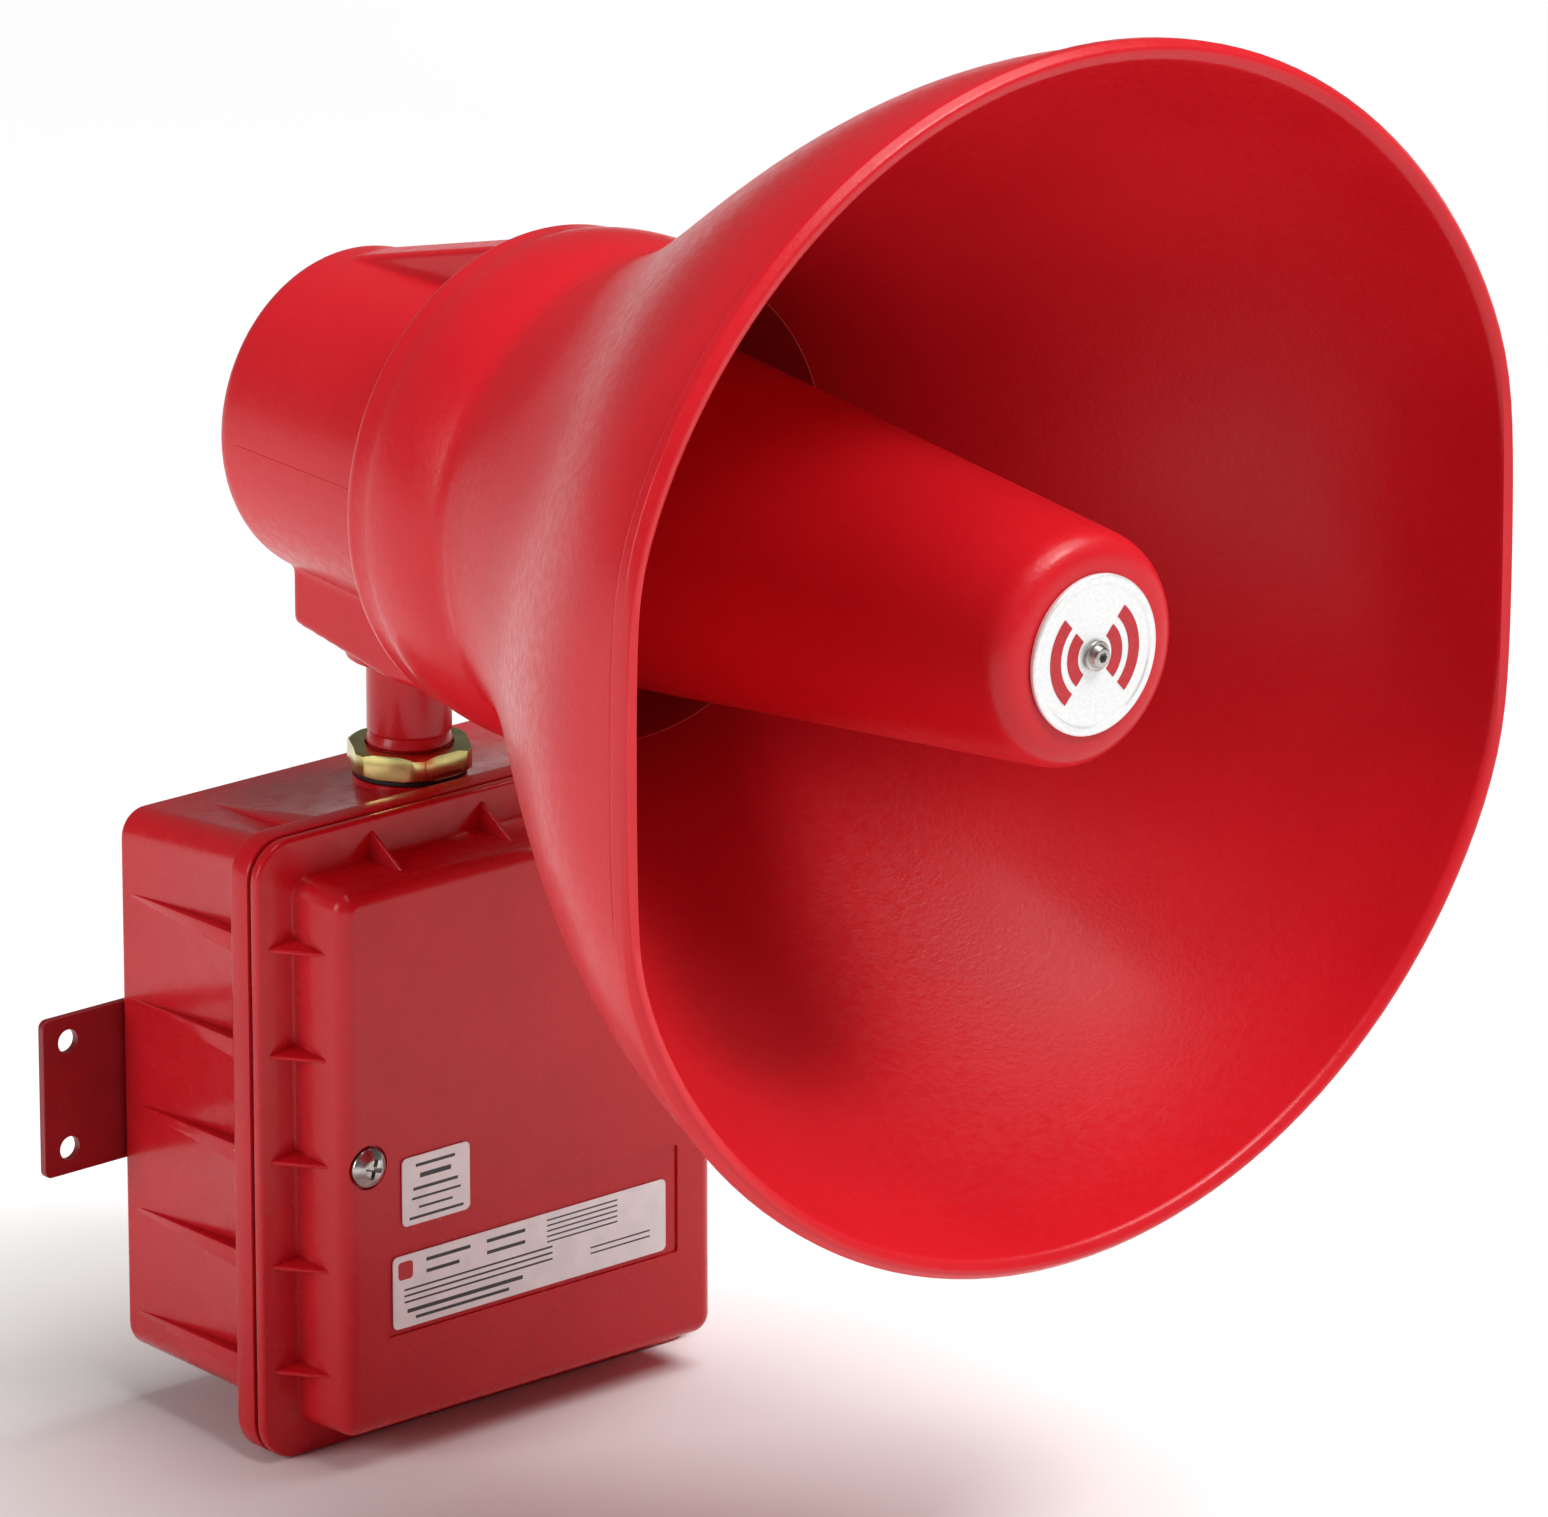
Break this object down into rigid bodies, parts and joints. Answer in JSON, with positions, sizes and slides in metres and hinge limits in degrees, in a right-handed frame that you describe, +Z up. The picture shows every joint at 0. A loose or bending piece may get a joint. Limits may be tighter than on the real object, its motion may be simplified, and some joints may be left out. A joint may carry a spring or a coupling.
{
  "type": "alarm horn",
  "caption": "Red wall-mounted alarm horn: a folded horn with flat-sided mouth and closed centre bullet, on a pipe stem above a ribbed control box with a lift-off cover.",
  "frame": {"origin": "middle of the wall strap's rear face, which lies on the wall", "axes": "-Y out of the horn's mouth, away from the wall; +Z up, along the stem; +X to the right seen from behind the horn"},
  "size_m": [0.2722, 0.281, 0.3824],
  "materials": {
    "red_powder_coat": "gloss red powder coat on cast aluminium, fine orange peel",
    "red_enclosure": "gloss red enamel on cast aluminium",
    "red_strap": "red enamel on sheet steel",
    "red_pipe": "red enamel on steel pipe",
    "yellow_zinc": "yellow zinc plate on steel",
    "bright_zinc": "bright zinc plated steel",
    "satin_aluminium": "spun satin aluminium",
    "label_vinyl": "white printed vinyl, left blank",
    "gasket_rubber": "matt neoprene",
    "soft_iron": "zinc plated soft iron",
    "ferrite": "sintered ferrite",
    "core_steel": "varnished laminations",
    "coil_tape": "polyester tape over copper wire",
    "grey_plastic": "glass-filled nylon",
    "black_plastic": "black nylon",
    "diaphragm_film": "pressed phenolic",
    "board_laminate": "green solder mask on glass laminate",
    "green_plastic": "green nylon",
    "red_wire": "red PVC sleeve",
    "black_wire": "black PVC sleeve"
  },
  "bodies": {
    "enclosure": {"wall_strap": "red_strap", "strap_screw_left": "bright_zinc", "strap_screw_right": "bright_zinc", "enclosure_box": "red_enclosure", "conduit_plug": "yellow_zinc", "plug_nut": "bright_zinc", "cover_gasket": "gasket_rubber", "circuit_board": "board_laminate", "board_screw_1": "bright_zinc", "board_screw_2": "bright_zinc", "board_screw_3": "bright_zinc", "board_screw_4": "bright_zinc", "transformer_core": "core_steel", "transformer_coil": "coil_tape", "filter_capacitor": "satin_aluminium", "coupling_capacitor": "satin_aluminium", "terminal_block": "green_plastic", "terminal_screw_1": "bright_zinc", "terminal_screw_2": "bright_zinc", "terminal_screw_3": "bright_zinc", "terminal_screw_4": "bright_zinc", "gain_potentiometer": "black_plastic", "stem_washer": "gasket_rubber", "inner_locknut": "bright_zinc", "lower_lead_red": "red_wire", "lower_lead_black": "black_wire"},
    "cover": {"enclosure_cover": "red_enclosure", "cover_screw_left": "bright_zinc", "cover_screw_right": "bright_zinc", "rating_label": "label_vinyl", "date_label": "label_vinyl"},
    "horn_head": {"stem_pipe": "red_pipe", "lead_splice": "black_plastic", "upper_lead_red": "red_wire", "upper_lead_black": "black_wire", "driver_housing": "red_powder_coat", "stem_set_screw": "bright_zinc", "bell_gasket": "gasket_rubber", "horn_bell": "red_powder_coat", "bell_screw_1": "bright_zinc", "bell_screw_2": "bright_zinc", "bell_screw_3": "bright_zinc", "bell_screw_4": "bright_zinc", "throat_tube": "grey_plastic", "reflector_spider": "grey_plastic", "reflector_cone": "red_powder_coat", "badge_disc": "satin_aluminium", "badge_screw": "bright_zinc", "magnet_yoke": "soft_iron", "ring_magnet": "ferrite", "top_plate": "soft_iron", "diaphragm_clamp": "grey_plastic", "throat_plate": "grey_plastic", "driver_screw_1": "bright_zinc", "driver_screw_2": "bright_zinc", "driver_screw_3": "bright_zinc"},
    "locknut": {"locknut": "yellow_zinc"},
    "gain_knob": {"gain_knob": "black_plastic"},
    "diaphragm": {"diaphragm": "diaphragm_film"}
  },
  "joints": [
    {"name": "cover_lift_off", "type": "slide", "parent": "enclosure", "child": "cover", "axis": [0, -1, 0], "range_m": [0, 0.05]},
    {"name": "horn_swivel", "type": "hinge", "parent": "enclosure", "child": "horn_head", "pos_m": [0, -0.034, 0.1599], "axis": [0, 0, 1], "range_deg": [-90, 90]},
    {"name": "locknut_turn", "type": "hinge", "parent": "horn_head", "child": "locknut", "pos_m": [0, -0.034, 0.0777], "axis": [0, 0, 1], "range_deg": [0, 180]},
    {"name": "gain_knob_turn", "type": "hinge", "parent": "enclosure", "child": "gain_knob", "pos_m": [-0.028, -0.0255, 0.012], "axis": [0, -1, 0], "range_deg": [-140, 140]},
    {"name": "diaphragm_travel", "type": "slide", "parent": "horn_head", "child": "diaphragm", "axis": [0, -1, 0], "range_m": [-0.0005, 0.0005], "stiffness_N_per_m": 600}
  ]
}
